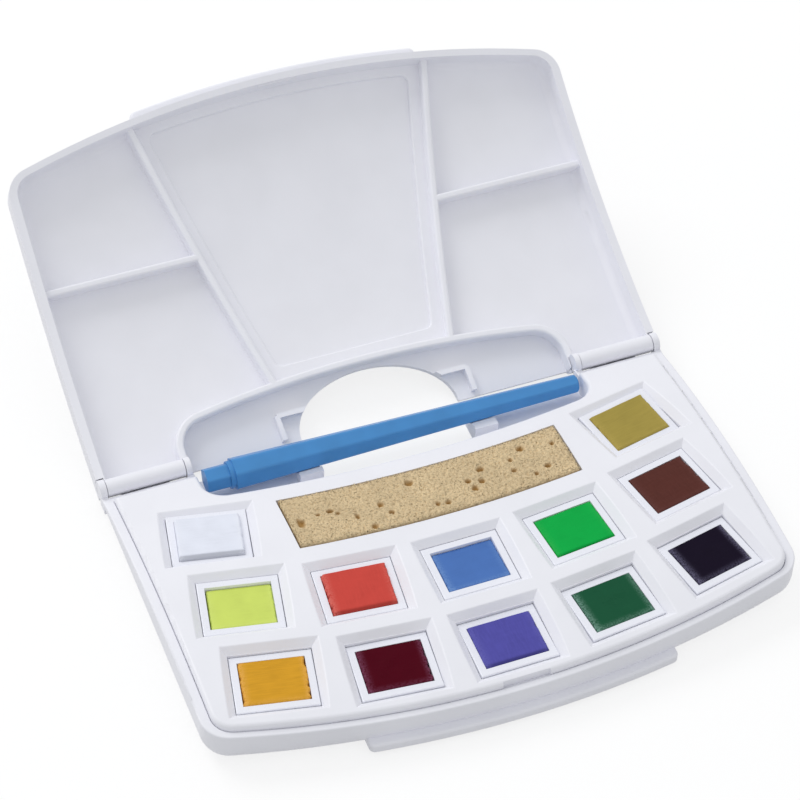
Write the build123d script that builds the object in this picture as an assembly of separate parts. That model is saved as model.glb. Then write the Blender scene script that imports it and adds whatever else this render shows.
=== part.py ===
from build123d import *
import os
from math import asin, atan, atan2, cos, degrees, radians, sin, sqrt

# Watercolor travel box: an arched tub with a pan tray, and a palette lid on a hinge at its back edge.
# Millimetres, +Z up. The origin is on the tub's flat underside, halfway from the hinge to the front.
# X runs along the hinge, and the lid opens towards +Y.

# Overall outline of the box
box_width = 146.4
rim_reach = 91.4
front_bow_radius = 260.0
corner_radius = 7.0

# Arch that the deck, both rims and the lid's floor share
arch_radius = 246.9
crown_from_hinge = 55.1
deck_above_rim = 1.5

# Tub
shell_floor = 1.8
shell_side_wall = 2.45
shell_front_wall = 1.75
shell_back_wall = 1.7
foot_radius = 6.0
inner_foot_radius = 4.0
inner_corner_radius = 5.2
foot_from_hinge = 1.3
back_wall_from_hinge = 2.7

# Finger lips at the front of the tub and the lid
lip_width = 76.0
lip_reach = 2.0
lid_lip_reach = 2.6
lip_height = 2.8
lip_foot = 1.0
lip_corner_radius = 1.5

# Hinge
hinge_lift = 1.14
barrel_radius = 2.15
barrel_inner_end = 51.9
barrel_length = 19.5
lug_radius = 2.35
lug_width = 1.4
lug_gap = 0.2
pin_radius = 1.1
pin_length = 2.6
pin_clearance = 0.06
swing_gap = 0.3
bay_floor = 3.6
lug_leg_from_hinge = 1.0
lid_open_angle = 148.9
stop_gap = 0.1
stop_height = 3.4
stop_length = 12.0

# Pan tray
tray_gap = 0.08
tray_skin = 1.4
tray_skirt = 1.2
skirt_foot = 6.2
boss_wall = 1.3
pocket_floor = 1.0

# Pans and their layout
pan_length = 19.0
pan_depth = 15.8
pan_height = 7.0
pan_flange_height = 1.2
pan_flange_step = 0.5
pan_draft = 0.3
pan_wall = 1.25
pan_floor = 0.9
pan_gap = 0.15
pan_sink = 1.8
recess_bevel = 1.85
mouth_over = 0.5
recess_web = 3.0
column_pitch = 26.98
middle_row_from_hinge = 55.14
row_bow_radius = 219.0
turn_share = 0.82
paint_crown = 0.6
paint_bevel = 0.8

# Sponge
sponge_length = 71.2
sponge_width = 16.8
sponge_bow_radius = 306.0
sponge_from_middle_recess = 5.3
sponge_thickness = 6.0
sponge_proud = 0.3
sponge_gap = 0.25

# Brush slot and thumb hole
slot_length = 100.0
slot_reach = 17.7
slot_bow_radius = 290.0
slot_corner_radius = 6.0
thumb_width = 39.6
thumb_corner_radius = 5.5
lid_thumb_reach = 13.8
lid_thumb_margin = 0.9

# Travel brush and its cradles
brush_from_hinge = 5.65
brush_height = 6.7
brush_tilt = 0.45
tube_length = 90.4
tube_start = -41.4
tube_open_radius = 3.7
tube_end_radius = 2.15
tube_wall = 0.8
tube_corner_radius = 1.0
tube_end_rounding = 1.1
tube_turn = 48.0
tube_sides = 6
ring_radius = 3.4
ring_width = 1.2
plug_radius = 2.8
plug_length = 5.8
plug_tip_radius = 2.75
plug_core_length = 14.0
plug_core_gap = 0.05
ferrule_length = 12.0
ferrule_radius = 1.7
bristle_length = 15.0
bristle_radius = 1.35
cradle_width = 6.0
cradle_reach = 10.7
cradle_height = 3.2
cradle_gap = 0.1

# Lid
lid_depth = 6.5
lid_skin = 1.8
lid_side_wall = 2.1
lid_far_wall = 1.7
lid_back_wall = 1.8
lid_back_reach = 1.6
lid_seat_gap = 0.15
lid_edge_radius = 3.2
lid_floor_radius = 2.0
lid_inner_corner_radius = 5.0
lid_slot_reach = 0.7
rib_drop = 2.2
rib_width = 1.8
slant_rib_near = 23.5
slant_rib_far = 39.1
slant_rib_near_reach = 15.5
slant_rib_far_reach = 86.1
cross_rib_from_hinge = 51.4
ridge_length = 103.6
ridge_reach = 16.6
ridge_width = 2.0
ridge_bow_radius = 280.0
ridge_corner_radius = 9.0
ledge_height = 1.2
ledge_border = 3.0
ledge_far_border = 2.4
ledge_near_border = 3.0
ledge_corner_radius = 2.0
keeper_height = 2.2
keeper_thickness = 1.2
keeper_reach = 7.2
keeper_half_span = 25.0

# Rounds on moulded edges
deck_edge_radius = 1.0
mouth_edge_radius = 0.5
rim_edge_radius = 0.4
lip_edge_radius = 0.7
rib_edge_radius = 0.6
ledge_edge_radius = 0.4
pan_edge_radius = 0.25

# Catch in the middle of the front
catch_length = 10.0
catch_gap = 0.8
catch_depth = 0.6
nib_reach = 0.3
nib_rise = 0.8

# Worked out from the sizes above
hinge_y = rim_reach / 2
half_width = box_width / 2
rim_radius = arch_radius - deck_above_rim
deck_half = half_width - shell_side_wall - tray_gap
deck_reach = rim_reach - shell_front_wall - tray_gap
recess_depth = pan_depth + 2 * pan_gap + 2 * recess_bevel
row_pitch = recess_depth + recess_web
far_side = 400.0
tall = 60.0
tiny = 0.01

PAN_PLACES = {
    "white": (-2, -1),
    "ochre": (2, -1),
    "lemon_yellow": (-2, 0),
    "red": (-1, 0),
    "blue": (0, 0),
    "green": (1, 0),
    "brown": (2, 0),
    "orange_yellow": (-2, 1),
    "crimson": (-1, 1),
    "violet": (0, 1),
    "dark_green": (1, 1),
    "indigo": (2, 1),
}


def fore(distance):
    """The Y of a line this far in front of the hinge."""
    return hinge_y - distance


def arch_drop(distance, radius=arch_radius):
    """How far the arch falls below its crown, this far in front of the hinge."""
    return radius - sqrt(radius**2 - (distance - crown_from_hinge) ** 2)


def column_place(column):
    """X, distance towards the hinge and turn of a column of pans, on the rows' bow."""
    x = column * column_pitch
    bow = row_bow_radius - sqrt(row_bow_radius**2 - x**2) if column else 0.0
    turn = degrees(atan2(x, sqrt(row_bow_radius**2 - x**2))) * turn_share
    return x, bow, turn


def pan_place(name):
    """X, distance from the hinge and turn of one pan."""
    column, row = PAN_PLACES[name]
    x, bow, turn = column_place(column)
    return x, middle_row_from_hinge + row * row_pitch - bow, turn


lowest_pan = max(arch_drop(pan_place(name)[1]) for name in PAN_PLACES)
deck_crown = shell_floor + pocket_floor + pan_gap + pan_height + pan_sink + lowest_pan
arch_centre_z = deck_crown - arch_radius


def deck_z(distance):
    """Height of the deck, this far in front of the hinge."""
    return deck_crown - arch_drop(distance)


hinge_z = deck_z(0) - deck_above_rim + hinge_lift


def arch(radius):
    """The solid under an arched surface."""
    bar = Cylinder(radius, far_side, rotation=(0, 90, 0))
    return Pos(0, fore(crown_from_hinge), arch_centre_z) * bar


def plan(half, reach, corner, back, bow=front_bow_radius):
    """An outline with straight sides and a bowed front, from this far in front of the hinge."""
    depth = reach - back
    sheet = Pos(0, fore(back) - depth / 2) * Rectangle(2 * half, depth)
    disc = Pos(0, fore(reach) + bow) * Circle(bow)
    face = sheet & disc
    front = face.vertices().group_by(Axis.Y)[0]
    return fillet(front, corner)


def prism(outline, bottom, top=tall):
    """An outline pulled straight up between two heights."""
    return Pos(0, 0, bottom) * extrude(outline, top - bottom)


def bar(x0, x1, near, far, bottom, top):
    """A square bar between two X values and two distances from the hinge."""
    size = (x1 - x0, far - near, top - bottom)
    centre = ((x0 + x1) / 2, fore((near + far) / 2), (bottom + top) / 2)
    return Pos(*centre) * Box(*size)


def hinge_rod(radius, x0, x1):
    """A round bar on the hinge line."""
    rod = Cylinder(radius, x1 - x0, rotation=(0, 90, 0))
    return Pos((x0 + x1) / 2, hinge_y, hinge_z) * rod


def both_sides(shape):
    """A shape and its mirror image on the other half of the box."""
    return shape + mirror(shape, Plane.YZ)


def opened(shape):
    """A shape of the closed lid, turned to the open lid's place."""
    axis = Axis((0, hinge_y, hinge_z), (1, 0, 0))
    return shape.rotate(axis, -lid_open_angle)


def arched_faces(solid, radius):
    """The faces of a solid that lie on an arched surface of this radius."""
    round_faces = solid.faces().filter_by(GeomType.CYLINDER)
    return [face for face in round_faces if abs(face.radius - radius) < tiny]


def outlines(solid, radius):
    """The outer outlines of a solid's faces on an arched surface."""
    return [face.outer_wire() for face in arched_faces(solid, radius)]


def holes(solid, radius):
    """The holes in a solid's faces on an arched surface."""
    return [wire for face in arched_faces(solid, radius) for wire in face.inner_wires()]


def soften(wires, radius):
    """Rounds the edges of these outlines on the solid that they belong to."""
    return fillet([edge for wire in wires for edge in wire.edges()], radius)


def rounded_prism(outline, bottom, radius):
    """A prism whose lower edges are rounded, but not along its back."""
    block = prism(outline, bottom)
    low = block.faces().sort_by(Axis.Z)[0]
    back_edge = low.edges().sort_by(Axis.Y)[-1]
    edges = [edge for edge in low.edges() if edge.center() != back_edge.center()]
    return fillet(edges, radius)


# Slot and thumb notch


def slot_outline(grow=0.0):
    """Outline of the brush slot, open at the back."""
    half = slot_length / 2 + grow
    corner = slot_corner_radius + grow
    return plan(half, slot_reach + grow, corner, -slot_reach, slot_bow_radius)


def thumb_notch():
    """Notch through the tub's floor, open at the back."""
    half = thumb_width / 2
    outline = plan(half, slot_reach, thumb_corner_radius, -slot_reach, slot_bow_radius)
    return prism(outline, -tall)


# Tub


def front_lip(reach, bottom, top):
    """Finger lip along the middle of the front."""
    outline = plan(lip_width / 2, rim_reach + reach, lip_corner_radius, rim_reach - foot_radius)
    lip = prism(outline, bottom, top)
    ends = lip.faces().sort_by(Axis.Z)
    return fillet(ends[0].edges() + ends[-1].edges(), lip_edge_radius)


def hinge_lugs():
    """Lugs at both ends of each barrel, with their stub pins."""
    inner = barrel_inner_end - lug_gap
    outer = barrel_inner_end + barrel_length + lug_gap
    rim_here = deck_z(back_wall_from_hinge) - deck_above_rim
    leg_far = back_wall_from_hinge + shell_back_wall
    lugs = hinge_rod(lug_radius, inner - lug_width, inner)
    lugs += hinge_rod(lug_radius, outer, half_width)
    lugs += bar(inner - lug_width, inner, lug_leg_from_hinge, leg_far, shell_floor / 2, rim_here)
    lugs += bar(outer, half_width, lug_leg_from_hinge, leg_far, foot_radius / 2, rim_here)
    lugs += hinge_rod(pin_radius, inner - lug_width / 2, inner + pin_length)
    lugs += hinge_rod(pin_radius, outer - pin_length, outer + lug_width / 2)
    return both_sides(lugs)


def lid_stops():
    """Feet that the open lid's back wall comes down against."""
    middle = barrel_inner_end + barrel_length / 2
    x0 = middle - stop_length / 2
    foot = bar(x0, x0 + stop_length, -lid_back_reach, back_wall_from_hinge, shell_floor / 2, stop_height)
    beyond = bar(-far_side, far_side, -lid_back_reach - stop_gap, far_side, -far_side, far_side)
    return both_sides(foot - opened(beyond))


def brush_cradles():
    """Blocks beside the thumb notch, each with a seat for the brush."""
    x0 = thumb_width / 2
    top = shell_floor + cradle_height
    block = bar(x0, x0 + cradle_width, foot_from_hinge, cradle_reach, shell_floor / 2, top)
    return both_sides(block) - brush_space(cradle_gap)


def tub_cavity(gap=0.0):
    """Space inside the tub's walls, drawn in by a gap but standing on its floor."""
    inner = plan(
        half_width - shell_side_wall - gap,
        rim_reach - shell_front_wall - gap,
        inner_corner_radius,
        back_wall_from_hinge + shell_back_wall + gap,
    )
    return rounded_prism(inner, shell_floor, inner_foot_radius)


def base_shell():
    """Tub with its lip, hinge lugs, stops and cradles."""
    outline = plan(half_width, rim_reach, corner_radius, foot_from_hinge)
    shell = rounded_prism(outline, 0.0, foot_radius) & arch(rim_radius)
    shell -= tub_cavity()
    shell = soften(outlines(shell, rim_radius) + holes(shell, rim_radius), rim_edge_radius)
    shell += front_lip(lip_reach, lip_foot, lip_foot + lip_height) - tub_cavity()
    half_slot = slot_length / 2
    shell -= bar(-half_slot, half_slot, -slot_reach, slot_reach, shell_floor, tall)
    bay_start = barrel_inner_end - lug_gap
    bay_end = barrel_inner_end + barrel_length + lug_gap
    shell -= both_sides(bar(bay_start, bay_end, -slot_reach, back_wall_from_hinge, bay_floor, tall))
    shell += hinge_lugs() + lid_stops() + brush_cradles()
    return shell - thumb_notch()


# Pan tray


def pan_base_z(name):
    """Height of a pan's underside in its pocket."""
    return deck_z(pan_place(name)[1]) - pan_sink - pan_height


def flared(outline, height, run):
    """A block whose sides lean out by this run for each unit of height."""
    return extrude(outline, height, taper=-degrees(atan(run)))


def at_pan(name, shape):
    """A shape modelled about a pan's centre, put in the pan's place."""
    x, distance, turn = pan_place(name)
    return Pos(x, fore(distance), 0) * Rot(0, 0, turn) * shape


def recess_cutter(name):
    """Bevelled recess square to the deck, over an upright pocket for the pan."""
    x, distance, turn = pan_place(name)
    pocket = Rectangle(pan_length + 2 * pan_gap, pan_depth + 2 * pan_gap)
    bevel = flared(pocket, pan_sink + mouth_over, recess_bevel / pan_sink)
    lean = degrees(asin((distance - crown_from_hinge) / arch_radius))
    on_deck = Pos(x, fore(distance), deck_z(distance)) * Rot(lean, 0, 0) * Rot(0, 0, turn)
    shaft = extrude(pocket, pan_height + pan_gap + 2 * pan_sink)
    upright = at_pan(name, Pos(0, 0, pan_base_z(name) - pan_gap) * shaft)
    return on_deck * Pos(0, 0, -pan_sink) * bevel + upright


def pan_boss(name):
    """Walls under the deck round one pocket, down to the tub's floor."""
    grow = 2 * (pan_gap + boss_wall)
    block = extrude(Rectangle(pan_length + grow, pan_depth + grow), tall - shell_floor)
    return at_pan(name, Pos(0, 0, shell_floor) * block)


def sponge_outline(grow=0.0):
    """Curved strip between two like arcs, behind the middle row."""
    front = middle_row_from_hinge - recess_depth / 2 - sponge_from_middle_recess + grow
    back = front - sponge_width - 2 * grow
    half = sponge_length / 2 + grow
    deep = Pos(0, fore(front) + sponge_bow_radius) * Circle(sponge_bow_radius)
    shallow = Pos(0, fore(back) + sponge_bow_radius) * Circle(sponge_bow_radius)
    strip = Pos(0, fore(front) + half) * Rectangle(2 * half, 2 * half)
    return (strip & deep) - shallow


def sponge_base_z():
    """Height of the sponge's underside."""
    return deck_crown + sponge_proud - arch_drop(slot_reach) - sponge_thickness


def hollow_under_deck():
    """Space under the deck, inside the tray's skirt and behind the slot's wall."""
    outline = plan(
        deck_half - tray_skirt,
        deck_reach - tray_skirt,
        inner_corner_radius - tray_skirt,
        back_wall_from_hinge + shell_back_wall + tray_gap + tray_skirt,
    )
    hollow = prism(outline, 0.0) & arch(arch_radius - tray_skin)
    hollow -= prism(slot_outline(tray_skirt), 0.0)
    for name in PAN_PLACES:
        hollow -= pan_boss(name)
    pocket_wall = prism(sponge_outline(sponge_gap + boss_wall), sponge_base_z() - pocket_floor)
    return hollow - pocket_wall


def under_skirt():
    """Room below the skirt for the tub's rounded inner foot."""
    room = prism(plan(half_width, rim_reach, corner_radius, 0.0), 0.0, skirt_foot)
    inner = plan(deck_half - 2 * tray_skirt, deck_reach - 2 * tray_skirt, inner_corner_radius, -tall)
    room -= prism(inner, 0.0)
    for name in PAN_PLACES:
        room -= pan_boss(name)
    return room - prism(slot_outline(tray_skirt), 0.0)


def paint_tray():
    """Arched deck with its skirt, pockets, sponge recess and slot wall."""
    tray = tub_cavity(tray_gap) & arch(arch_radius)
    tray -= prism(slot_outline(), 0.0)
    for name in PAN_PLACES:
        tray -= recess_cutter(name)
    tray = soften(holes(tray, arch_radius), mouth_edge_radius)
    tray = soften(outlines(tray, arch_radius), deck_edge_radius)
    tray -= prism(sponge_outline(sponge_gap), sponge_base_z())
    tray -= hollow_under_deck()
    tray -= under_skirt()
    return tray - catch_recess()


def catch_recess():
    """Shallow recess in the deck's front edge that the lid's catch comes down in."""
    half = catch_length / 2 + catch_gap
    low = deck_z(deck_reach) - deck_above_rim - nib_rise
    return bar(-half, half, deck_reach - catch_depth, rim_reach, low, tall)


# Pans, paints and sponge


def drafted(length, depth, height):
    """A block of this size at its top, with the pans' draft on its sides."""
    run = pan_draft / pan_height
    foot = Rectangle(length - 2 * run * height, depth - 2 * run * height)
    return flared(foot, height, run)


def cavity_size():
    """Length and depth of a pan's cavity at its rim."""
    rim = pan_flange_step + pan_wall
    return pan_length - 2 * rim, pan_depth - 2 * rim


def pan_cup():
    """Half pan with a flange round its rim, standing on its underside."""
    body_length = pan_length - 2 * pan_flange_step
    body_depth = pan_depth - 2 * pan_flange_step
    cup = drafted(body_length, body_depth, pan_height)
    flange = extrude(Rectangle(pan_length, pan_depth), pan_flange_height)
    cup += Pos(0, 0, pan_height - pan_flange_height) * flange
    length, depth = cavity_size()
    cup -= Pos(0, 0, pan_floor) * drafted(length, depth, pan_height - pan_floor)
    rim = cup.faces().sort_by(Axis.Z)[-1]
    return fillet(rim.outer_wire().edges(), pan_edge_radius)


def paint_block():
    """Block of paint that fills a pan and stands a little proud."""
    length, depth = cavity_size()
    block = Pos(0, 0, pan_floor) * drafted(length, depth, pan_height - pan_floor)
    crown = flared(Rectangle(length, depth), paint_crown, -paint_bevel / paint_crown)
    return block + Pos(0, 0, pan_height) * crown


def sponge():
    """Sponge strip in its recess, arched like the deck."""
    blank = prism(sponge_outline(), sponge_base_z())
    return blank & arch(arch_radius + sponge_proud)


# Travel brush


def brush_place(x):
    """Place on the brush's leaning axis at this X, facing along it."""
    start = Pos(tube_start, fore(brush_from_hinge), brush_height) * Rot(0, brush_tilt, 0)
    return start * Pos(x - tube_start, 0, 0) * Rot(0, 90, 0)


def section_corner(radius):
    """Round at the corners of a section that has this radius over its flats."""
    return tube_corner_radius * radius / tube_open_radius


def brush_section(radius, x):
    """Six-sided section with round corners at this X, by its radius over the flats."""
    outline = RegularPolygon(radius, tube_sides, major_radius=False, rotation=tube_turn)
    outline = fillet(outline.vertices(), section_corner(radius))
    return (brush_place(x) * outline).face()


def corner_reach(radius):
    """Radius over the round corners of a section."""
    half_angle = radians(180 / tube_sides)
    return (radius - section_corner(radius)) / cos(half_angle) + section_corner(radius)


def brush_rod(radius_a, radius_b, x0, x1):
    """A round, evenly tapered bar on the brush's axis."""
    length = x1 - x0
    if radius_a == radius_b:
        rod = Cylinder(radius_a, length)
    else:
        rod = Cone(radius_a, radius_b, length)
    return brush_place((x0 + x1) / 2) * rod


def tube_radius(x):
    """Radius over the tube's flats at this X."""
    share = (x - tube_start) / tube_length
    return tube_open_radius + (tube_end_radius - tube_open_radius) * share


def bore_radius(x):
    """Radius of the tube's bore at this X."""
    return tube_radius(x) - tube_wall


def brush_space(gap):
    """Round space that the tube needs, with this clearance."""
    end = tube_start + tube_length
    open_reach = corner_reach(tube_open_radius) + gap
    return brush_rod(open_reach, corner_reach(tube_end_radius) + gap, tube_start, end)


def brush_tube():
    """Blue tube, closed and rounded at its narrow end."""
    end = tube_start + tube_length
    sections = [brush_section(tube_radius(x), x) for x in (tube_start, end)]
    round_end = brush_space(0.0)
    round_end = fillet(round_end.edges().sort_by(Axis.X)[-1], tube_end_rounding)
    tube = loft(sections, ruled=True) & round_end
    bore_end = end - 2 * tube_end_rounding
    return tube - brush_rod(bore_radius(tube_start), bore_radius(bore_end), tube_start, bore_end)


def brush_plug():
    """Blue plug with its ring, and its core inside the tube."""
    ring_start = tube_start - ring_width
    tip = ring_start - plug_length
    plug = loft([brush_section(plug_tip_radius, tip), brush_section(plug_radius, ring_start)], ruled=True)
    plug += brush_rod(ring_radius, ring_radius, ring_start, tube_start)
    core = bore_radius(tube_start + plug_core_length) - plug_core_gap
    return plug + brush_rod(core, core, tube_start, tube_start + plug_core_length)


def brush_ferrule():
    """Metal ferrule gripped by the end of the plug's core."""
    start = tube_start + plug_core_length
    return brush_rod(ferrule_radius, ferrule_radius, start, start + ferrule_length)


def brush_bristles():
    """Pointed head of hairs on the ferrule's end."""
    start = tube_start + plug_core_length + ferrule_length
    return brush_rod(bristle_radius, bristle_radius / 4, start, start + bristle_length)


# Lid, modelled closed and then turned open


def lid_relief(outline, gap):
    """What stands on the lid's floor over an outline, down to a gap above the rim."""
    inside = plan(
        half_width - lid_side_wall / 2,
        rim_reach - lid_far_wall / 2,
        lid_inner_corner_radius,
        -tall,
    )
    block = prism(outline & inside, 0.0) & arch(rim_radius + lid_depth + lid_skin / 2)
    return block - arch(rim_radius + gap)


def lid_inner(back):
    """Outline inside the lid's walls."""
    half = half_width - lid_side_wall
    return plan(half, rim_reach - lid_far_wall, lid_inner_corner_radius, back)


def lid_blank():
    """Arched lid with rounded outer edges, solid above the rims."""
    outline = plan(half_width, rim_reach, corner_radius, -lid_back_reach)
    blank = prism(outline, 0.0) & arch(rim_radius + lid_depth + lid_skin)
    top = blank.faces().sort_by(Axis.Z)[-1]
    blank = fillet(top.edges(), lid_edge_radius)
    top_here = arch_centre_z + sqrt(rim_radius**2 - (rim_reach - crown_from_hinge) ** 2)
    lip_top = top_here + lid_depth + lid_skin - lip_foot
    lip = front_lip(lid_lip_reach, lip_top - lip_height, lip_top)
    return blank + lip - arch(rim_radius + lid_seat_gap)


def lid_cavity():
    """Space inside the lid, with a rounded edge round its floor."""
    cavity = prism(lid_inner(lid_back_wall - lid_back_reach), 0.0) & arch(rim_radius + lid_depth)
    top = cavity.faces().sort_by(Axis.Z)[-1]
    return fillet(top.edges(), lid_floor_radius)


def slanted_line(distance):
    """X of the slanted ribs' middle line, this far from the hinge."""
    share = (distance - slant_rib_near_reach) / (slant_rib_far_reach - slant_rib_near_reach)
    return slant_rib_near + (slant_rib_far - slant_rib_near) * share


def slant_rib():
    """Outline of the slanted rib on the +X side, from the ridge to the far wall."""
    near = ridge_reach - ridge_width
    far = rim_reach
    half = rib_width / 2
    corners = [
        (slanted_line(near) - half, fore(near)),
        (slanted_line(near) + half, fore(near)),
        (slanted_line(far) + half, fore(far)),
        (slanted_line(far) - half, fore(far)),
    ]
    return make_face(Polyline(*corners, close=True))


def cross_rib():
    """Outline of the rib from the slanted rib to the side wall."""
    start = slanted_line(cross_rib_from_hinge)
    end = half_width - lid_side_wall / 2
    centre = ((start + end) / 2, fore(cross_rib_from_hinge))
    return Pos(*centre) * Rectangle(end - start, rib_width)


def ridge_outline(inset):
    """Outline of the brush pocket's ridge, drawn in by the inset."""
    half = ridge_length / 2 - inset
    corner = ridge_corner_radius - inset
    return plan(half, ridge_reach - inset, corner, -lid_slot_reach, ridge_bow_radius)


def well_outline():
    """Outline of the middle well inside its ledge."""
    near = ridge_reach + ledge_near_border
    far = rim_reach - lid_far_wall - ledge_far_border
    inset = ledge_border + rib_width / 2
    near_x = slanted_line(near) - inset
    far_x = slanted_line(far) - inset
    corners = [(-near_x, fore(near)), (near_x, fore(near)), (far_x, fore(far)), (-far_x, fore(far))]
    wedge = make_face(Polyline(*corners, close=True))
    disc = Pos(0, fore(far) + front_bow_radius) * Circle(front_bow_radius)
    return fillet((wedge & disc).vertices(), ledge_corner_radius)


def middle_sector():
    """Outline between the slanted ribs, from the ridge to the far wall."""
    near = ridge_reach - ridge_width
    far = rim_reach
    corners = [
        (-slanted_line(near), fore(near)),
        (slanted_line(near), fore(near)),
        (slanted_line(far), fore(far)),
        (-slanted_line(far), fore(far)),
    ]
    return make_face(Polyline(*corners, close=True))


def well_ledge():
    """Raised border round the middle well."""
    border = middle_sector() - well_outline() - ridge_outline(ridge_width / 2)
    return lid_relief(border, lid_depth - ledge_height)


def keepers():
    """Low bars beside the lid's thumb hole that hold the brush down in its cradles."""
    floor_gap = lid_depth - keeper_height
    cross = Pos(0, fore(keeper_reach)) * Rectangle(2 * keeper_half_span, keeper_thickness)
    side_length = keeper_reach - lid_slot_reach
    side = Pos(keeper_half_span, fore(keeper_reach - side_length / 2))
    side *= Rectangle(keeper_thickness, side_length)
    return lid_relief(cross, floor_gap) + both_sides(lid_relief(side, floor_gap))


def lid_thumb_hole():
    """Half-oval hole through the lid's back edge."""
    half = thumb_width / 2 + lid_thumb_margin
    oval = Pos(0, fore(0)) * Ellipse(half, lid_thumb_reach)
    return prism(oval, 0.0)


def hinge_barrels():
    """Barrels on the hinge line, joined to the lid's back wall."""
    end = barrel_inner_end + barrel_length
    return both_sides(hinge_rod(barrel_radius, barrel_inner_end, end))


def barrel_bores():
    """Bores in the barrels for the lugs' pins."""
    end = barrel_inner_end + barrel_length
    depth = pin_length + lug_gap
    radius = pin_radius + pin_clearance
    bores = hinge_rod(radius, barrel_inner_end, barrel_inner_end + depth)
    bores += hinge_rod(radius, end - depth, end)
    return both_sides(bores)


def lug_room():
    """Space that the lid leaves round the tub's lugs as it turns."""
    room = hinge_rod(lug_radius + swing_gap, barrel_inner_end - 2 * lug_gap - lug_width, barrel_inner_end)
    room += hinge_rod(lug_radius + swing_gap, barrel_inner_end + barrel_length, half_width + lug_width)
    return both_sides(room)


def catch_nib():
    """Small nib inside the lid's far wall."""
    inner = rim_reach - lid_far_wall
    half = catch_length / 2
    strip = bar(-half, half, inner - nib_reach, inner + lid_far_wall / 2, 0.0, tall)
    strip &= arch(rim_radius + lid_seat_gap + 2 * nib_rise)
    return strip - arch(rim_radius + lid_seat_gap + nib_rise)


def palette_lid():
    """Lid with its wells, ribs, brush pocket, barrels and thumb hole, in its open place."""
    half_slot = barrel_inner_end - 2 * lug_gap - lug_width
    lid = lid_blank() - lid_cavity()
    inner_back = lid_back_wall - lid_back_reach
    open_back = bar(-half_slot, half_slot, -tall, inner_back + lid_floor_radius, 0.0, tall)
    lid -= open_back & arch(rim_radius + lid_depth)
    lid -= bar(-half_slot, half_slot, -tall, -lid_slot_reach, 0.0, tall)
    ribs = lid_relief(slant_rib() + cross_rib(), rib_drop)
    lid += both_sides(soften(outlines(ribs, rim_radius + rib_drop), rib_edge_radius))
    ridge = lid_relief(ridge_outline(0.0) - ridge_outline(ridge_width), rib_drop)
    lid += soften(outlines(ridge, rim_radius + rib_drop), rib_edge_radius)
    ledge = well_ledge()
    lid += soften(holes(ledge, rim_radius + lid_depth - ledge_height), ledge_edge_radius)
    lid += keepers()
    lid -= lug_room()
    lid += hinge_barrels() + catch_nib()
    lid -= barrel_bores()
    return opened(lid - lid_thumb_hole())


def make_nodes():
    """Every piece of the box by its name."""
    nodes = {"base_shell": base_shell(), "paint_tray": paint_tray(), "palette_lid": palette_lid()}
    cup = pan_cup()
    block = paint_block()
    for name in PAN_PLACES:
        lift = Pos(0, 0, pan_base_z(name))
        nodes["pan_" + name] = at_pan(name, lift * cup)
        nodes["paint_" + name] = at_pan(name, lift * block)
    nodes["sponge"] = sponge()
    nodes["brush_tube"] = brush_tube()
    nodes["brush_plug"] = brush_plug()
    nodes["brush_ferrule"] = brush_ferrule()
    nodes["brush_bristles"] = brush_bristles()
    return nodes


os.makedirs("parts", exist_ok=True)
for node, shape in make_nodes().items():
    export_step(shape, "parts/" + node + ".step")
    print(node, len(shape.solids()), round(shape.volume))
print("deck crown", round(deck_crown, 4), "hinge height", round(hinge_z, 4))
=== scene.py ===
"""Looks, camera and studio for the watercolor travel box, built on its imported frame."""

import math
import random
from collections import namedtuple

import bmesh
import bpy
from mathutils import Matrix, Vector, noise


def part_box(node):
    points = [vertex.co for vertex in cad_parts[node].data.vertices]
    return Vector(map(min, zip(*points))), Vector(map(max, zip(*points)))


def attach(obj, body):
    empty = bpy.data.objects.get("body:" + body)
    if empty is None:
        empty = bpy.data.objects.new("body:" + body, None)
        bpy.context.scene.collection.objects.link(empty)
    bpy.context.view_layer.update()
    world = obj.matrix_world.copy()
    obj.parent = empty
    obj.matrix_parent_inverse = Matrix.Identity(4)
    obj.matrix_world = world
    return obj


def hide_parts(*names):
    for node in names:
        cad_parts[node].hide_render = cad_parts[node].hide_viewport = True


bl_info = {
    "name": "Watercolor Travel Box",
    "version": (1, 0, 0),
    "blender": (4, 5, 0),
    "location": "3D View > Sidebar > Travel Box",
    "description": "Paint blocks, sponge, finishes and studio for a pocket watercolor box",
    "category": "Object",
}

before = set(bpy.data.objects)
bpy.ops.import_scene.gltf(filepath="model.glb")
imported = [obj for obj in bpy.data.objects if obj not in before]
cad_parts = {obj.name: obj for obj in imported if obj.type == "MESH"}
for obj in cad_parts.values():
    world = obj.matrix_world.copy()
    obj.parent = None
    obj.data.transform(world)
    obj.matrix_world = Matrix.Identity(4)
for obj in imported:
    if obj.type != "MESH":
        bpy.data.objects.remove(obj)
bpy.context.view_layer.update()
MM = 0.001

# The sizes of the paints and the sponge are in millimetres. First, where the pans stand, as the
# tray has them
ROW_BOW_RADIUS = 219.0
TURN_SHARE = 0.82
PAN_LENGTH = 19.0
PAN_DEPTH = 15.8
PAN_RIM = 1.75
PAN_HEIGHT = 7.0
PAN_FLOOR = 0.9

# The mesh of a block of paint: faces along and across its top, and the steps of its sides
PAINT_GRID = (64, 52)
PAINT_SKIRTS = (0.5, 0.7)

# How far in from its sides a block is worn and carries a painted sheen, and how its chips and its
# cut front fall
WEAR_AND_SHEEN_LEFT = 2.4
WEAR_AND_SHEEN_RIGHT = 2.0
WEAR_AND_SHEEN_FRONT = 1.8
CHIP_REACH = 1.3
CHIP_FALL = 0.9
END_REACH = 0.8
FRONT_INSET = 0.06
BACK_INSET = 0.12
BACK_ROUND_SHARE = 0.7
CUT_SLOPE = 0.75
CUT_EDGE = 0.3
LEAST_CUT = 0.6

# Waves a millimetre of a block's strokes, along and across them, and of its shallow dips
STROKE_WAVES = (0.12, 1.6)
DIP_WAVES = 0.28
DIP_DEPTH = 0.09

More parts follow.
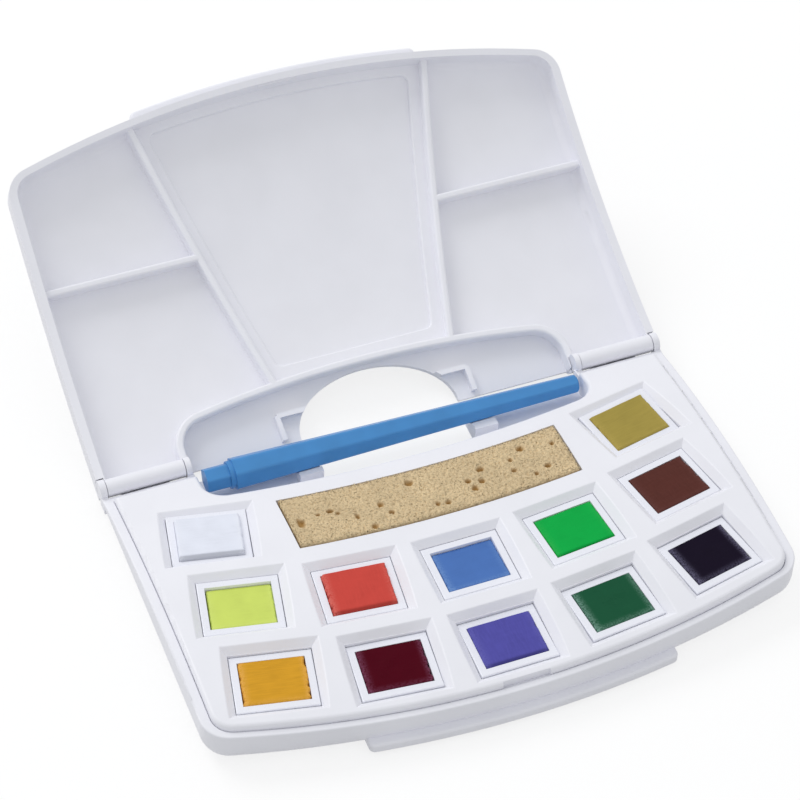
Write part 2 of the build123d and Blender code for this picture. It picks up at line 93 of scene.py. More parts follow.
# Sponge strip, as its recess has it
SPONGE_LENGTH = 71.2
SPONGE_WIDTH = 16.8
SPONGE_BOW_RADIUS = 306.0
ARCH_RADIUS = 247.2
CROWN_FROM_HINGE = 55.1
HINGE_Y = 45.7

# The mesh of the sponge, and how far its torn edge reaches, stands back and falls
SPONGE_GRID = (236, 56)
SPONGE_SKIRTS = (0.3, 0.6, 1.0)
TORN_REACH = 0.8
TORN_INSET = 0.25
TORN_FALL = 0.25

# Ragged line of that edge: waves a millimetre, reach and seed. Then the waves of the uneven top
FUZZ = ((1.1, 0.22, 2.0), (2.9, 0.2, 7.0))
TUFT_WAVES = 1.6
TUFT_HEIGHT = 0.1

# The materials' patterns, in millimetres. The real box's grit, draw lines, metal grain and hairs
# are finer, and are drawn this coarse so that they show
PAINT_CLOUD = 4.0
PAINT_GRIT = 0.35
SPONGE_CLOUD = 9.0
SPONGE_SPECK = 0.45
BRUSH_CLOUD = 8.0
DRAW_LINES = 0.6
METAL_GRAIN = 0.3
HAIRS = 0.15

# Spans that hold most of a noise pattern's values, and nearly all of them
MOST_VALUES = (0.35, 0.65)
NEARLY_ALL = (0.3, 0.7)

# Input sockets of a Mix node that mixes colours
FACTOR, FIRST, SECOND = 0, 6, 7

# The stage in metres, and the camera as it stood for the photograph, with its lens and sensor in
# millimetres
LAMP_DISTANCE = 2.0
LAMP_SIZE = 1.1
LAMP_DIRECTION = (-0.32, 0.6, 0.73)
SKY_COLOUR = (0.97, 0.985, 1.0, 1.0)
WHITE = (1.0, 1.0, 1.0, 1.0)
FLOOR_HALF = 3.0
LENS = 131.206
SENSOR_WIDTH = 36.0
CLIP_RANGE = (0.05, 20.0)
CAMERA_PLACE = (-0.183331, -0.403009, 0.533099)
CAMERA_RIGHT = (0.93235945, -0.36071954, 0.02423358)
CAMERA_UP = (0.24885693, 0.68895868, 0.68073942)
CAMERA_BACK = (-0.26225195, -0.62866314, 0.7321247)

# A block of paint: its colour, its colour at worn edges, pale with dust and a painted sheen, its
# height over the pan's rim, its fall towards the front, its front bevel, the chips on its left and
# right edges, the gap on its left, its roughness, and the depth of its strokes, which run across
# it where the depth is negative
Block = namedtuple(
    "Block", "colour worn level fall bevel left_chips right_chips left_gap rough stroke"
)

PAINTS = {
    "white": Block("#EAEDF8", "#F2F4FB", 1.15, 0.0, 0.95, 0.1, 0.2, 0.1, 0.5, 0.01),
    "lemon_yellow": Block("#D1E16E", "#DDEB86", -0.5, -0.3, 0.35, 0.15, 0.2, 0.3, 0.5, 0.01),
    "orange_yellow": Block("#D59C2C", "#F0B45E", 0.25, 0.0, 0.35, 0.45, 0.5, 0.05, 0.45, 0.05),
    "red": Block("#CE4C43", "#DF7268", 0.75, 0.1, 0.85, 0.6, 0.25, 0.05, 0.5, -0.02),
    "crimson": Block("#4C0014", "#7E4660", 0.25, 0.0, 0.3, 0.35, 0.5, 0.0, 0.3, 0.01),
    "blue": Block("#5077BA", "#7A9ED2", -0.35, -0.35, 0.3, 0.35, 0.1, 0.1, 0.5, 0.01),
    "violet": Block("#5552A4", "#6E6CB8", 0.5, 0.0, 0.8, 0.2, 0.2, 0.0, 0.55, -0.04),
    "green": Block("#10AC48", "#3CBB58", 0.1, -0.2, 0.6, 0.1, 0.1, 0.2, 0.45, 0.01),
    "dark_green": Block("#1C5439", "#7FA596", 0.3, 0.0, 0.35, 0.35, 0.2, 0.1, 0.3, 0.01),
    "ochre": Block("#A5934A", "#B9A558", 0.5, 0.1, 0.35, 0.25, 0.3, 0.0, 0.5, 0.03),
    "brown": Block("#58302A", "#6B4542", 0.2, -0.1, 0.35, 0.1, 0.3, 0.1, 0.5, -0.04),
    "indigo": Block("#150D20", "#6E6A84", 0.35, 0.0, 0.4, 0.35, 0.5, 0.1, 0.3, 0.01),
}

# Large pores of the sponge: along it, up from its front edge, length and width
PORES = (
    (-32.9, 7.6, 2.0, 3.2),
    (-28.3, 9.2, 1.0, 0.8),
    (-25.2, 9.6, 1.7, 1.2),
    (-23.7, 8.4, 1.1, 1.0),
    (-19.8, 5.9, 1.0, 1.7),
    (-17.0, 1.6, 1.9, 1.6),
    (-13.4, 8.1, 1.6, 1.6),
    (-11.8, 4.7, 1.2, 1.3),
    (-4.5, 12.6, 2.3, 1.9),
    (-0.6, 3.7, 1.1, 1.6),
    (1.9, 3.2, 1.4, 1.6),
    (8.8, 7.9, 1.5, 1.3),
    (11.9, 6.7, 1.6, 1.6),
    (9.6, 5.2, 1.6, 2.0),
    (13.0, 10.6, 2.0, 1.6),
    (20.4, 6.8, 1.3, 1.3),
    (21.0, 10.4, 1.1, 1.3),
    (24.6, 13.0, 2.0, 1.8),
    (25.1, 3.5, 1.1, 1.3),
    (28.7, 4.8, 1.7, 1.6),
    (32.6, 11.1, 1.1, 1.4),
)


def srgb(code):
    """Linear red, green and blue of an sRGB hex colour."""
    parts = [int(code[i : i + 2], 16) / 255 for i in (1, 3, 5)]
    return tuple(p / 12.92 if p <= 0.04045 else ((p + 0.055) / 1.055) ** 2.4 for p in parts)


def colour_property(name, description, code):
    """A colour setting whose default is an sRGB hex colour."""
    return bpy.props.FloatVectorProperty(
        name=name,
        description=description,
        subtype="COLOR",
        size=3,
        min=0.0,
        max=1.0,
        default=srgb(code),
    )


def length_property(name, description, millimetres, most=100.0):
    """A length setting in scene units, given in millimetres."""
    return bpy.props.FloatProperty(
        name=name,
        description=description,
        unit="LENGTH",
        precision=5,
        min=0.0,
        max=most * MM,
        default=millimetres * MM,
    )


class PlasticSettings(bpy.types.PropertyGroup):
    """Finish of the tub, tray, lid and pans."""

    box_colour: colour_property("Box colour", "Colour of the tub, the tray and the lid", "#F2F2F8")
    pan_colour: colour_property("Pan colour", "Colour of the half pans", "#F1F2FA")
    roughness: bpy.props.FloatProperty(
        name="Roughness",
        description="Roughness of the box's plastic",
        min=0.0,
        max=1.0,
        default=0.42,
    )
    grain: length_property("Grain", "Size of the fine grain that the mould leaves", 0.5, 5.0)
    wave: length_property("Wave", "Size of the shallow waves where the plastic sank", 14.0)


class PaintSettings(bpy.types.PropertyGroup):
    """Colours of the twelve blocks, and the sizes that they share."""

    __annotations__ = {
        name: colour_property(
            name.replace("_", " ").capitalize(), "Colour of this block of paint", block.colour
        )
        for name, block in PAINTS.items()
    }
    __annotations__["chip_size"] = length_property(
        "Chip size", "Length of the chips along an edge", 1.1, 5.0
    )
    __annotations__["edge_round"] = length_property(
        "Edge round", "Round along the top edges", 0.35, 2.0
    )


class SpongeSettings(bpy.types.PropertyGroup):
    """Colours and pores of the sponge strip."""

    colour: colour_property("Colour", "Colour of the sponge's surface", "#E4CCA4")
    tip_colour: colour_property("Tip colour", "Colour at the tips of the torn fibres", "#F2E2B4")
    # Painted shade deep in the pores and small cells
    pore_shade_colour: colour_property("Pore colour", "Colour deep in the pores", "#A47E48")
    cell: length_property("Cell size", "Size of the sponge's small cells", 0.85, 5.0)
    cell_depth: length_property("Cell depth", "Depth of the small cells", 0.32, 2.0)
    pore_depth: length_property("Pore depth", "Depth of the large pores", 0.9, 4.0)
    tuft: length_property("Tuft length", "Length of the torn fibres on the surface", 0.32, 2.0)


class BrushSettings(bpy.types.PropertyGroup):
    """Finish of the travel brush."""

    colour: colour_property("Colour", "Colour of the tube and the plug", "#458CCB")
    hair_colour: colour_property("Hair colour", "Colour of the brush's hairs", "#6B3E20")


class StageSettings(bpy.types.PropertyGroup):
    """Floor, lamps and camera."""

    floor_colour: colour_property("Floor colour", "Colour of the floor", "#D2D2D2")
    world_strength: bpy.props.FloatProperty(
        name="World strength",
        description="Strength of the even light from all round",
        min=0.0,
        default=0.7,
    )
    key_power: bpy.props.FloatProperty(
        name="Key power",
        description="Power of the large lamp at the back left",
        unit="POWER",
        default=13.5,
    )
    shadow_share: bpy.props.FloatProperty(
        name="Shadow share",
        description="How much of the floor's shadow shows",
        min=0.0,
        max=1.0,
        default=0.25,
    )


# Shader helpers


def add(tree, kind, inputs=(), **settings):
    """Adds a shader node with its settings, and fills or links its inputs, which come by name or
    in order. A node that is given for an input is linked by its first output in use."""
    made = tree.nodes.new("ShaderNode" + kind)
    for name, value in settings.items():
        setattr(made, name, value)
    for key, value in inputs.items() if isinstance(inputs, dict) else enumerate(inputs):
        if isinstance(value, bpy.types.Node):
            value = next(output for output in value.outputs if output.enabled)
        if isinstance(value, bpy.types.NodeSocket):
            tree.links.new(value, made.inputs[key])
        else:
            made.inputs[key].default_value = value
    return made


def new_material(name):
    """An empty node material, and its tree."""
    material = bpy.data.materials.new(name)
    material.use_nodes = True
    tree = material.node_tree
    tree.nodes.clear()
    return material, tree


def rgba(colour, share=1.0):
    """A colour with an alpha of one, made darker or lighter by a share."""
    return (*(min(1.0, c * share) for c in colour), 1.0)


def cover(tree, under, over, pattern, low=0.0, high=1.0):
    """One tone covered by another as a pattern goes from low to high."""
    share = add(tree, "MapRange", (pattern, low, high))
    return add(tree, "Mix", {FACTOR: share, FIRST: under, SECOND: over}, data_type="RGBA")


def seen_by_eye(tree):
    """One for rays from the camera and for what glossy and clear surfaces show, else zero."""
    path = add(tree, "LightPath").outputs
    inputs = (path["Is Camera Ray"], path["Is Glossy Ray"])
    seen = add(tree, "Math", inputs, operation="MAXIMUM")
    return add(tree, "Math", (seen, path["Is Transmission Ray"]), operation="MAXIMUM")


def paint_nodes(obj, material):
    """Puts one material on every slot of an object."""
    slots = obj.data.materials
    if not len(slots):
        slots.append(material)
    for index in range(len(slots)):
        slots[index] = material


def moulded_plastic(name, colour, roughness, grain, wave, depth):
    """Injection moulded plastic: a satin skin with a fine grain, which keeps highlights soft and
    broad, over faint waves where the plastic sank, so that large faces don't look dead flat. The
    grain is drawn coarser than the real one, so that it shows."""
    material, tree = new_material(name)
    place = add(tree, "TexCoord").outputs["Object"]
    cloud = add(tree, "TexNoise", {"Vector": place, "Scale": 1 / wave})
    fine = add(tree, "TexNoise", {"Vector": place, "Scale": 1 / grain, "Detail": 3.0})
    waves = add(tree, "Bump", {"Height": cloud, "Distance": depth * 3, "Strength": 0.6})
    skin = {"Height": fine, "Distance": depth, "Strength": 0.5, "Normal": waves}
    sheen = (fine, *NEARLY_ALL, roughness - 0.05, roughness + 0.05)
    surface = {
        "Base Color": cover(tree, rgba(colour, 0.985), rgba(colour, 1.01), cloud, *MOST_VALUES),
        "Roughness": add(tree, "MapRange", sheen),
        "IOR": 1.49,
        "Normal": add(tree, "Bump", skin),
    }
    add(tree, "OutputMaterial", {"Surface": add(tree, "BsdfPrincipled", surface)})
    return material


# Shape helpers


def finish_piece(bm, name, material, body, node):
    """Makes a bmesh a smooth-shaded piece that rides on its body and stands for its CAD node."""
    mesh = bpy.data.meshes.new(name)
    bm.to_mesh(mesh)
    bm.free()
    mesh.materials.append(material)
    mesh.shade_smooth()
    piece = bpy.data.objects.new(name, mesh)
    bpy.context.scene.collection.objects.link(piece)
    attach(piece, body)
    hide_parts(node)
    return piece


def slab(columns, rows, skirts):
    """A grid two units square at zero height, its edge drawn down in steps and closed below."""
    bm = bmesh.new()
    bmesh.ops.create_grid(bm, x_segments=columns, y_segments=rows, size=1.0)
    edge = [e for e in bm.edges if e.is_boundary]
    for step in skirts:
        made = bmesh.ops.extrude_edge_only(bm, edges=edge)["geom"]
        lower = [v for v in made if isinstance(v, bmesh.types.BMVert)]
        bmesh.ops.translate(bm, verts=lower, vec=(0.0, 0.0, -step))
        edge = [e for e in made if isinstance(e, bmesh.types.BMEdge) and e.is_boundary]
    bmesh.ops.contextual_create(bm, geom=edge)
    bmesh.ops.recalc_face_normals(bm, faces=bm.faces)
    return bm


def ease(value):
    """A smooth step from 0 to 1."""
    value = min(1.0, max(0.0, value))
    return value * value * (3 - 2 * value)


def round_drop(distance, radius):
    """How far a rounded edge falls this far from a block's side."""
    if distance >= radius:
        return 0.0
    return radius - math.sqrt(max(0.0, radius**2 - (radius - distance) ** 2))


def chip(place, seed, size):
    """Depth of the chipping at a place along an edge, from 0 to 1."""
    wide = noise.noise(Vector((place / size, seed, 0.0)))
    tight = noise.noise(Vector((place / size * 2.7, seed + 5.0, 3.0)))
    return max(0.0, 0.35 + 0.9 * wide + 0.45 * tight)


# Paints


def paint_material(name, colour, worn, roughness, stroke):
    """Dried watercolour, a cake bound with gum: matt and deep in colour, with faint strokes where
    it was poured and cut, a painted shade on the cut face in front, and at its worn edges a pale,
    dusty grain with a painted sheen."""
    material, tree = new_material("dried_watercolour_" + name)
    place = add(tree, "TexCoord").outputs["Object"]
    across = add(tree, "UVMap", uv_map="across_block")
    counts = (3.0, 26.0, 1.0) if stroke > 0 else (30.0, 4.0, 1.0)
    lines = add(tree, "Mapping", {"Vector": across, "Scale": counts})
    strokes = add(tree, "TexNoise", {"Vector": lines, "Scale": 1.0, "Detail": 4.0})
    cloud = add(tree, "TexNoise", {"Vector": place, "Scale": 1 / (PAINT_CLOUD * MM), "Detail": 3.0})
    grit = add(tree, "TexNoise", {"Vector": place, "Scale": 1 / (PAINT_GRIT * MM)})
    wear = add(tree, "Attribute", attribute_name="wear").outputs["Fac"]
    cut = add(tree, "Attribute", attribute_name="cut").outputs["Fac"]
    depth = abs(stroke)
    tone = cover(tree, rgba(colour, 0.96), rgba(colour, 1.05), cloud, *NEARLY_ALL)
    tone = cover(tree, tone, rgba(colour, 1 + 3 * depth), strokes, 0.4, 0.75)
    # Painted shade on the cut face in front
    tone = cover(tree, tone, rgba(colour, 0.68), cut)
    # Pale worn edges: dust from the grit, and a painted sheen along the edges
    dust_and_sheen_speckle = add(tree, "MapRange", (grit, 0.3, 0.6))
    dust_and_sheen = add(tree, "Math", (wear, dust_and_sheen_speckle), operation="MULTIPLY")
    relief = add(tree, "Bump", {"Height": strokes, "Distance": depth * MM, "Strength": 0.6})
    skin = {"Height": grit, "Distance": 0.03 * MM, "Strength": 0.6, "Normal": relief}
    sheen = (cloud, *NEARLY_ALL, roughness - 0.06, roughness + 0.1)
    surface = {
        "Base Color": cover(tree, tone, rgba(worn), dust_and_sheen),
        "Roughness": add(tree, "MapRange", sheen),
        "IOR": 1.48,
        "Specular IOR Level": 0.05,
        "Normal": add(tree, "Bump", skin),
    }
    add(tree, "OutputMaterial", {"Surface": add(tree, "BsdfPrincipled", surface)})
    return material


def shape_paint(bm, block, seed, settings):
    """Shapes a slab into a block of paint and marks its worn edges, which get dust and a painted
    sheen, and its cut face, which gets a painted shade.
    """
    half_x = PAN_LENGTH / 2 - PAN_RIM
    half_y = PAN_DEPTH / 2 - PAN_RIM
    size = settings.chip_size / MM
    edge_round = settings.edge_round / MM
    wear = bm.verts.layers.float.new("wear")
    cut = bm.verts.layers.float.new("cut")
    for vert in bm.verts:
        x, y, below = vert.co.x * half_x, vert.co.y * half_y, vert.co.z
        if below < -sum(PAINT_SKIRTS) - 0.1:
            vert.co = Vector((x, y, PAN_FLOOR - PAN_HEIGHT))
            continue
        left, right = x + half_x, half_x - x
        front, back = y + half_y, half_y - y
        left_chip = block.left_chips * chip(y, seed, size)
        right_chip = block.right_chips * chip(y, seed + 20, size)
        z = block.level + block.fall * (y / half_y) + below
        z -= round_drop(left, edge_round + left_chip * CHIP_FALL)
        z -= round_drop(right, edge_round + right_chip * CHIP_FALL)
        z -= round_drop(back, edge_round * BACK_ROUND_SHARE)
        z -= CUT_SLOPE * max(0.0, block.bevel - front)
        stroke = Vector((x * STROKE_WAVES[0], y * STROKE_WAVES[1], seed))
        z += abs(block.stroke) * noise.noise(stroke)
        z += DIP_DEPTH * noise.noise(Vector((x * DIP_WAVES, y * DIP_WAVES, seed + 9)))
        # How much dust and painted sheen each place gets near the left, right and front edges
        worn = max(
            ease(1 - left / WEAR_AND_SHEEN_LEFT) * (0.4 + block.left_chips),
            ease(1 - right / WEAR_AND_SHEEN_RIGHT) * (0.3 + block.right_chips),
        )
        if block.bevel < LEAST_CUT:
            worn += 0.4 * ease(1 - front / WEAR_AND_SHEEN_FRONT)
        else:
            # Marks the cut face for its painted shade
            vert[cut] = ease((block.bevel - front) / CUT_EDGE)
        vert[wear] = min(1.0, worn)
        if below > -1.0:
            x += ease(1 - left / CHIP_REACH) * (left_chip + block.left_gap)
            x -= ease(1 - right / CHIP_REACH) * right_chip
            y += ease(1 - front / END_REACH) * FRONT_INSET
            y -= ease(1 - back / END_REACH) * BACK_INSET
        vert.co = Vector((x, y, z))


def make_paint(name, block, settings):
    """One block of paint in its pan."""
    low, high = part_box("pan_" + name)
    centre = (low + high) / 2
    seed = 3.7 * (1 + sorted(PAINTS).index(name))
    bm = slab(*PAINT_GRID, (*PAINT_SKIRTS, 1.0))
    layer = bm.loops.layers.uv.new("across_block")
    for face in bm.faces:
        for loop in face.loops:
            loop[layer].uv = ((loop.vert.co.x + 1) / 2, (loop.vert.co.y + 1) / 2)
    shape_paint(bm, block, seed, settings)
    turn = math.asin(centre.x / MM / ROW_BOW_RADIUS) * TURN_SHARE
    place = Matrix.Translation((centre.x, centre.y, high.z)) @ Matrix.Rotation(turn, 4, "Z")
    bmesh.ops.transform(bm, matrix=place @ Matrix.Scale(MM, 4), verts=bm.verts)
    colour = tuple(getattr(settings, name))
    material = paint_material(name, colour, srgb(block.worn), block.rough, block.stroke)
    finish_piece(bm, "cake_" + name, material, "pan_of_" + name, "paint_" + name)


# Sponge


def sponge_material(settings):
    """Cellulose sponge: matt torn fibres, paler and yellower at their tips, with a painted brown
    shade in its pores and cells, so that it reads as dry, open and soft beside the smooth plastic."""
    material, tree = new_material("cellulose_sponge")
    place = add(tree, "TexCoord").outputs["Object"]
    depth = add(tree, "Attribute", attribute_name="depth").outputs["Fac"]
    cloud = add(tree, "TexNoise", {"Vector": place, "Scale": 1 / (SPONGE_CLOUD * MM)})
    fine = {"Vector": place, "Scale": 1 / (SPONGE_SPECK * MM), "Detail": 3.0}
    speck = add(tree, "TexNoise", fine)
    colour = tuple(settings.colour)
    tone = cover(tree, rgba(colour, 0.94), rgba(colour, 1.06), cloud, *MOST_VALUES)
    tone = cover(tree, tone, rgba(colour, 0.76), speck, 0.5, 0.34)
    tone = cover(tree, tone, rgba(settings.tip_colour), depth, -0.1, -1.0)
    # Painted shade in the pores and small cells, by how deep they lie
    surface = {
        "Base Color": cover(tree, tone, rgba(settings.pore_shade_colour), depth, 0.1, 1.0),
        "Roughness": 0.95,
        "IOR": 1.4,
        "Specular IOR Level": 0.2,
        "Normal": add(tree, "Bump", {"Height": speck, "Distance": 0.12 * MM, "Strength": 0.6}),
    }
    add(tree, "OutputMaterial", {"Surface": add(tree, "BsdfPrincipled", surface)})
    return material


def pore_share(x, rise):
    """How deep a place lies in a large pore, from 0 to 1."""
    most = 0.0
    wobble = 0.25 * noise.noise(Vector((x * 1.3, rise * 1.3, 4.0)))
    for centre_x, centre_rise, length, width in PORES:
        across = math.hypot((x - centre_x) / (length / 2), (rise - centre_rise) / (width / 2))
        most = max(most, ease(1.35 - across + wobble))
    return most


def raise_tufts(bm, faces, depth, fringe, length):
    """Draws each face of the sponge's top up to a leaning tip, longest along its torn edges."""
    dice = random.Random(11)
    deep = [max(vert[depth] for vert in face.verts) for face in faces]
    torn = [max(vert[fringe] for vert in face.verts) for face in faces]
    tips = bmesh.ops.poke(bm, faces=faces, offset=0.0, center_mode="MEAN")["verts"]
    for tip, share, edge in zip(tips, deep, torn):
        lean = Vector((dice.gauss(0, 0.5), dice.gauss(0, 0.5), dice.random() ** 1.5))
        tip.co += lean * length * (1 - 0.9 * share) * (1 + 0.8 * edge)
        tip[depth] = share - lean.z * (1 - share) * (0.6 + 0.4 * edge)


def shape_sponge(bm, depth, fringe, settings):
    """Bends a slab into the arched, bowed strip, with its cells, pores and torn edge."""
    low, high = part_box("sponge")
    front_y = low.y / MM
    crown_y = HINGE_Y - CROWN_FROM_HINGE
    near_drop = ARCH_RADIUS - math.sqrt(ARCH_RADIUS**2 - (front_y - crown_y) ** 2)
    crown_z = high.z / MM + near_drop
    for vert in bm.verts:
        below = vert.co.z
        x = vert.co.x * SPONGE_LENGTH / 2
        rise = (vert.co.y + 1) / 2 * SPONGE_WIDTH
        sag = SPONGE_BOW_RADIUS - math.sqrt(SPONGE_BOW_RADIUS**2 - x**2)
        ends = ease(1 - (SPONGE_LENGTH / 2 - abs(x)) / TORN_REACH)
        sides = ease(1 - min(rise, SPONGE_WIDTH - rise) / TORN_REACH)
        inset = TORN_INSET
        for waves, reach, seed in FUZZ:
            inset += reach * noise.noise(Vector((x * waves, rise * waves, seed)))
        y = front_y + rise + sag
        drop = ARCH_RADIUS - math.sqrt(ARCH_RADIUS**2 - (y - crown_y) ** 2)
        spot = Vector((x, rise, 0.0)) / (settings.cell / MM)
        small = ease(1.15 - 2.2 * noise.voronoi(spot)[0][0])
        tufts = noise.fractal(Vector((x * TUFT_WAVES, rise * TUFT_WAVES, 0.0)), 0.7, 2.2, 3)
        deep = pore_share(x, rise)
        z = crown_z - drop + below + TUFT_HEIGHT * tufts - TORN_FALL * max(ends, sides)
        z -= settings.cell_depth / MM * small + settings.pore_depth / MM * deep
        # How deep each place lies in its cells and pores, which sets its painted shade
        vert[depth] = min(1.0, 0.3 * small + 0.95 * deep)
        vert[fringe] = max(ends, sides)
        x -= math.copysign(ends * inset, x)
        y -= math.copysign(sides * inset, rise - SPONGE_WIDTH / 2)
        if below < -sum(SPONGE_SKIRTS[:2]) - 0.1:
            z = low.z / MM
        vert.co = Vector((x, y, z))


def make_sponge(settings):
    """The sponge strip, with torn fibres and open pores on its top."""
    bm = slab(*SPONGE_GRID, SPONGE_SKIRTS)
    depth = bm.verts.layers.float.new("depth")
    fringe = bm.verts.layers.float.new("fringe")
    faces = [face for face in bm.faces if all(vert.co.z == 0.0 for vert in face.verts)]
    shape_sponge(bm, depth, fringe, settings)
    raise_tufts(bm, faces, depth, fringe, settings.tuft / MM)
    bmesh.ops.scale(bm, vec=(MM, MM, MM), verts=bm.verts)
    material = sponge_material(settings)
    piece = finish_piece(bm, "sponge_strip_open_cell", material, "sponge_strip", "sponge")


# Brush


def brush_plastic(settings):
    """Semi-gloss moulded plastic, with draw lines along the brush that stretch its highlights."""
    material, tree = new_material("moulded_polystyrene_blue")
    place = add(tree, "TexCoord").outputs["Object"]
    drawn = add(tree, "Mapping", {"Vector": place, "Scale": (0.04, 1.0, 1.0)})
    lines = add(tree, "TexNoise", {"Vector": drawn, "Scale": 1 / (DRAW_LINES * MM)})
    cloud = add(tree, "TexNoise", {"Vector": place, "Scale": 1 / (BRUSH_CLOUD * MM)})
    colour = tuple(settings.colour)
    surface = {
        "Base Color": cover(tree, rgba(colour, 0.95), rgba(colour, 1.05), cloud, *MOST_VALUES),
        "Roughness": add(tree, "MapRange", (cloud, *NEARLY_ALL, 0.3, 0.36)),
        "IOR": 1.59,
        "Specular IOR Level": 0.3,
        "Normal": add(tree, "Bump", {"Height": lines, "Distance": 0.01 * MM, "Strength": 0.4}),
    }
    add(tree, "OutputMaterial", {"Surface": add(tree, "BsdfPrincipled", surface)})
    return material


def ferrule_metal():
    """Drawn aluminium: a bright tube whose fine lines break its highlights up."""
    material, tree = new_material("drawn_aluminium")
    place = add(tree, "TexCoord").outputs["Object"]
    grain = add(tree, "TexNoise", {"Vector": place, "Scale": 1 / (METAL_GRAIN * MM)})
    surface = {
        "Base Color": rgba(srgb("#D5D7DA")),
        "Metallic": 1.0,
        "Roughness": add(tree, "MapRange", (grain, *NEARLY_ALL, 0.2, 0.4)),
    }
    add(tree, "OutputMaterial", {"Surface": add(tree, "BsdfPrincipled", surface)})
    return material


def brush_hair(settings):
    """Brown hair: fine strands along the head, dark between them."""
    material, tree = new_material("brush_hair")
    place = add(tree, "TexCoord").outputs["Object"]
    drawn = add(tree, "Mapping", {"Vector": place, "Scale": (0.05, 1.0, 1.0)})
    strands = add(tree, "TexNoise", {"Vector": drawn, "Scale": 1 / (HAIRS * MM)})
    colour = tuple(settings.hair_colour)
    surface = {
        "Base Color": cover(tree, rgba(colour, 0.6), rgba(colour, 1.3), strands, *MOST_VALUES),
        "Roughness": 0.6,
        "Normal": add(tree, "Bump", {"Height": strands, "Distance": 0.05 * MM, "Strength": 0.8}),
    }
    add(tree, "OutputMaterial", {"Surface": add(tree, "BsdfPrincipled", surface)})
    return material


# Stage


def make_floor(settings):
    """A plain pale floor that the camera sees as white, with the object's shadow on it."""
    bm = bmesh.new()
    bmesh.ops.create_grid(bm, x_segments=1, y_segments=1, size=FLOOR_HALF)
    mesh = bpy.data.meshes.new("floor")
    bm.to_mesh(mesh)
    bm.free()
    floor = bpy.data.objects.new("floor", mesh)
    bpy.context.scene.collection.objects.link(floor)
    material, tree = new_material("studio_floor")
    share = settings.shadow_share
    plain = add(tree, "BsdfDiffuse", {"Color": rgba(settings.floor_colour)})
    dim = add(tree, "BsdfDiffuse", {"Color": (share, share, share, 1.0)})
    glow = add(tree, "Emission", {"Color": WHITE, "Strength": 1.02 - share})
    white = add(tree, "AddShader", (dim, glow))
    shown = add(tree, "MixShader", (seen_by_eye(tree), plain, white))
    add(tree, "OutputMaterial", {"Surface": shown})
    mesh.materials.append(material)


def make_lamps(settings):
    """Even light from all round, and one large soft lamp at the back left."""
    world = bpy.data.worlds.new("studio_light")
    world.use_nodes = True
    world.node_tree.nodes.clear()
    tree = world.node_tree
    inputs = {"Color": SKY_COLOUR, "Strength": settings.world_strength}
    lit = add(tree, "Background", inputs)
    white = add(tree, "Background", {"Color": WHITE, "Strength": 1.0})
    both = add(tree, "MixShader", (seen_by_eye(tree), lit, white))
    add(tree, "OutputWorld", {"Surface": both})
    bpy.context.scene.world = world
    direction = Vector(LAMP_DIRECTION).normalized()
    light = bpy.data.lights.new("key_lamp", "AREA")
    light.shape = "DISK"
    light.size = LAMP_SIZE
    light.energy = settings.key_power
    lamp = bpy.data.objects.new("key_lamp", light)
    facing = direction.to_track_quat("Z", "Y").to_matrix().to_4x4()
    lamp.matrix_world = Matrix.Translation(direction * LAMP_DISTANCE) @ facing
    bpy.context.scene.collection.objects.link(lamp)


def make_camera():
    """The camera at the photographed angle."""
    data = bpy.data.cameras.new("camera")
    data.sensor_width = SENSOR_WIDTH
    data.lens = LENS
    data.clip_start, data.clip_end = CLIP_RANGE
    camera = bpy.data.objects.new("camera", data)
    turn = Matrix((CAMERA_RIGHT, CAMERA_UP, CAMERA_BACK)).transposed().to_4x4()
    camera.matrix_world = Matrix.Translation(CAMERA_PLACE) @ turn
    bpy.context.scene.collection.objects.link(camera)
    bpy.context.scene.camera = camera


class TRAVELBOX_OT_plastics(bpy.types.Operator):
    """Gives the tub, tray, lid and pans their moulded plastic"""

    bl_idname = "travelbox.plastics"
    bl_label = "Finish Plastics"

    def execute(self, context):
        settings = context.scene.travelbox_plastics
        sizes = (settings.grain, settings.wave)
        box_colour = tuple(settings.box_colour)
        pan_colour = tuple(settings.pan_colour)
        rough = settings.roughness
        box = moulded_plastic("moulded_polypropylene_white", box_colour, rough, *sizes, 0.02 * MM)
        pans = moulded_plastic("moulded_polystyrene_white", pan_colour, 0.3, *sizes, 0.01 * MM)
        for name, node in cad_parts.items():
            if name in ("base_shell", "paint_tray", "palette_lid"):
                paint_nodes(node, box)
            elif name.startswith("pan_"):
                paint_nodes(node, pans)
        return {"FINISHED"}


class TRAVELBOX_OT_paints(bpy.types.Operator):
    """Builds the twelve blocks of paint"""

    bl_idname = "travelbox.paints"
    bl_label = "Build Paints"

    def execute(self, context):
        for name, block in PAINTS.items():
            make_paint(name, block, context.scene.travelbox_paints)
        return {"FINISHED"}


class TRAVELBOX_OT_sponge(bpy.types.Operator):
    """Builds the sponge strip"""

    bl_idname = "travelbox.sponge"
    bl_label = "Build Sponge"

    def execute(self, context):
        make_sponge(context.scene.travelbox_sponge)
        return {"FINISHED"}


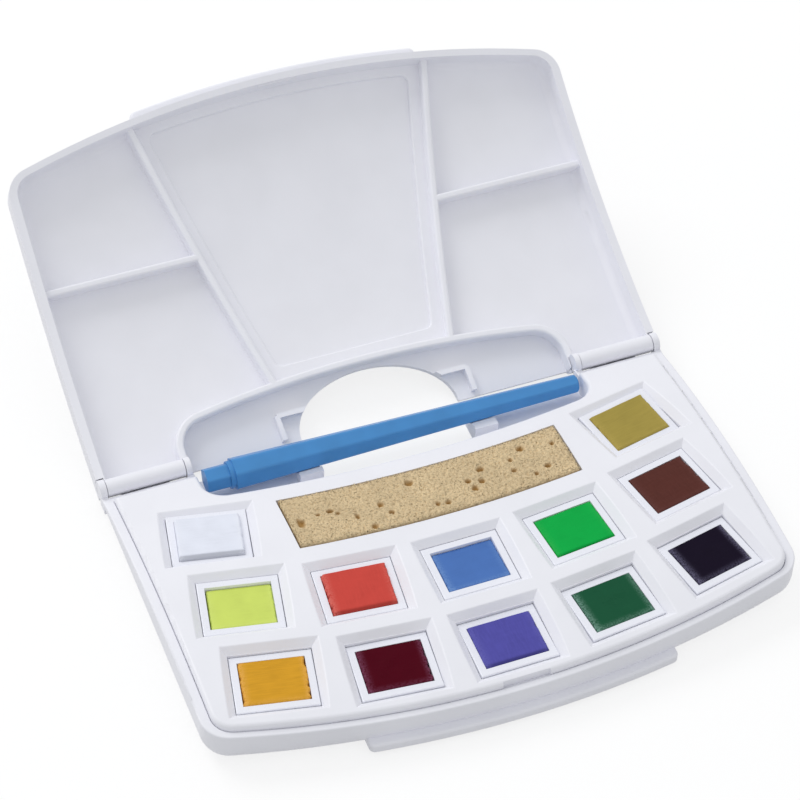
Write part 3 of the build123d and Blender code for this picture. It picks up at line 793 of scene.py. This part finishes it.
class TRAVELBOX_OT_brush(bpy.types.Operator):
    """Gives the travel brush its finishes"""

    bl_idname = "travelbox.brush"
    bl_label = "Finish Brush"

    def execute(self, context):
        settings = context.scene.travelbox_brush
        blue = brush_plastic(settings)
        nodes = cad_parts
        paint_nodes(nodes["brush_tube"], blue)
        paint_nodes(nodes["brush_plug"], blue)
        paint_nodes(nodes["brush_ferrule"], ferrule_metal())
        paint_nodes(nodes["brush_bristles"], brush_hair(settings))
        return {"FINISHED"}


class TRAVELBOX_OT_stage(bpy.types.Operator):
    """Sets up the floor, the lamps and the camera"""

    bl_idname = "travelbox.stage"
    bl_label = "Set Up Stage"

    def execute(self, context):
        settings = context.scene.travelbox_stage
        make_floor(settings)
        make_lamps(settings)
        make_camera()
        context.scene.view_settings.view_transform = "Standard"
        return {"FINISHED"}


class TRAVELBOX_PT_panel(bpy.types.Panel):
    """Lists the settings and the steps"""

    bl_idname = "TRAVELBOX_PT_panel"
    bl_label = "Travel Box"
    bl_space_type = "VIEW_3D"
    bl_region_type = "UI"
    bl_category = "Travel Box"

    def draw(self, context):
        for key, (group, operator) in STEPS.items():
            box = self.layout.box()
            settings = getattr(context.scene, "travelbox_" + key)
            for name in group.__annotations__:
                box.prop(settings, name)
            box.operator(operator.bl_idname)


STEPS = {
    "stage": (StageSettings, TRAVELBOX_OT_stage),
    "plastics": (PlasticSettings, TRAVELBOX_OT_plastics),
    "paints": (PaintSettings, TRAVELBOX_OT_paints),
    "sponge": (SpongeSettings, TRAVELBOX_OT_sponge),
    "brush": (BrushSettings, TRAVELBOX_OT_brush),
}


def register():
    """Registers the settings, the operators and the panel."""
    for key, (group, operator) in STEPS.items():
        bpy.utils.register_class(group)
        bpy.utils.register_class(operator)
        setattr(bpy.types.Scene, "travelbox_" + key, bpy.props.PointerProperty(type=group))
    bpy.utils.register_class(TRAVELBOX_PT_panel)


def unregister():
    """Takes them away again."""
    bpy.utils.unregister_class(TRAVELBOX_PT_panel)
    for key, (group, operator) in STEPS.items():
        delattr(bpy.types.Scene, "travelbox_" + key)
        bpy.utils.unregister_class(operator)
        bpy.utils.unregister_class(group)


def main():
    """Builds everything."""
    register()
    for key in STEPS:
        getattr(bpy.ops.travelbox, key)()


if __name__ == "__main__":
    main()
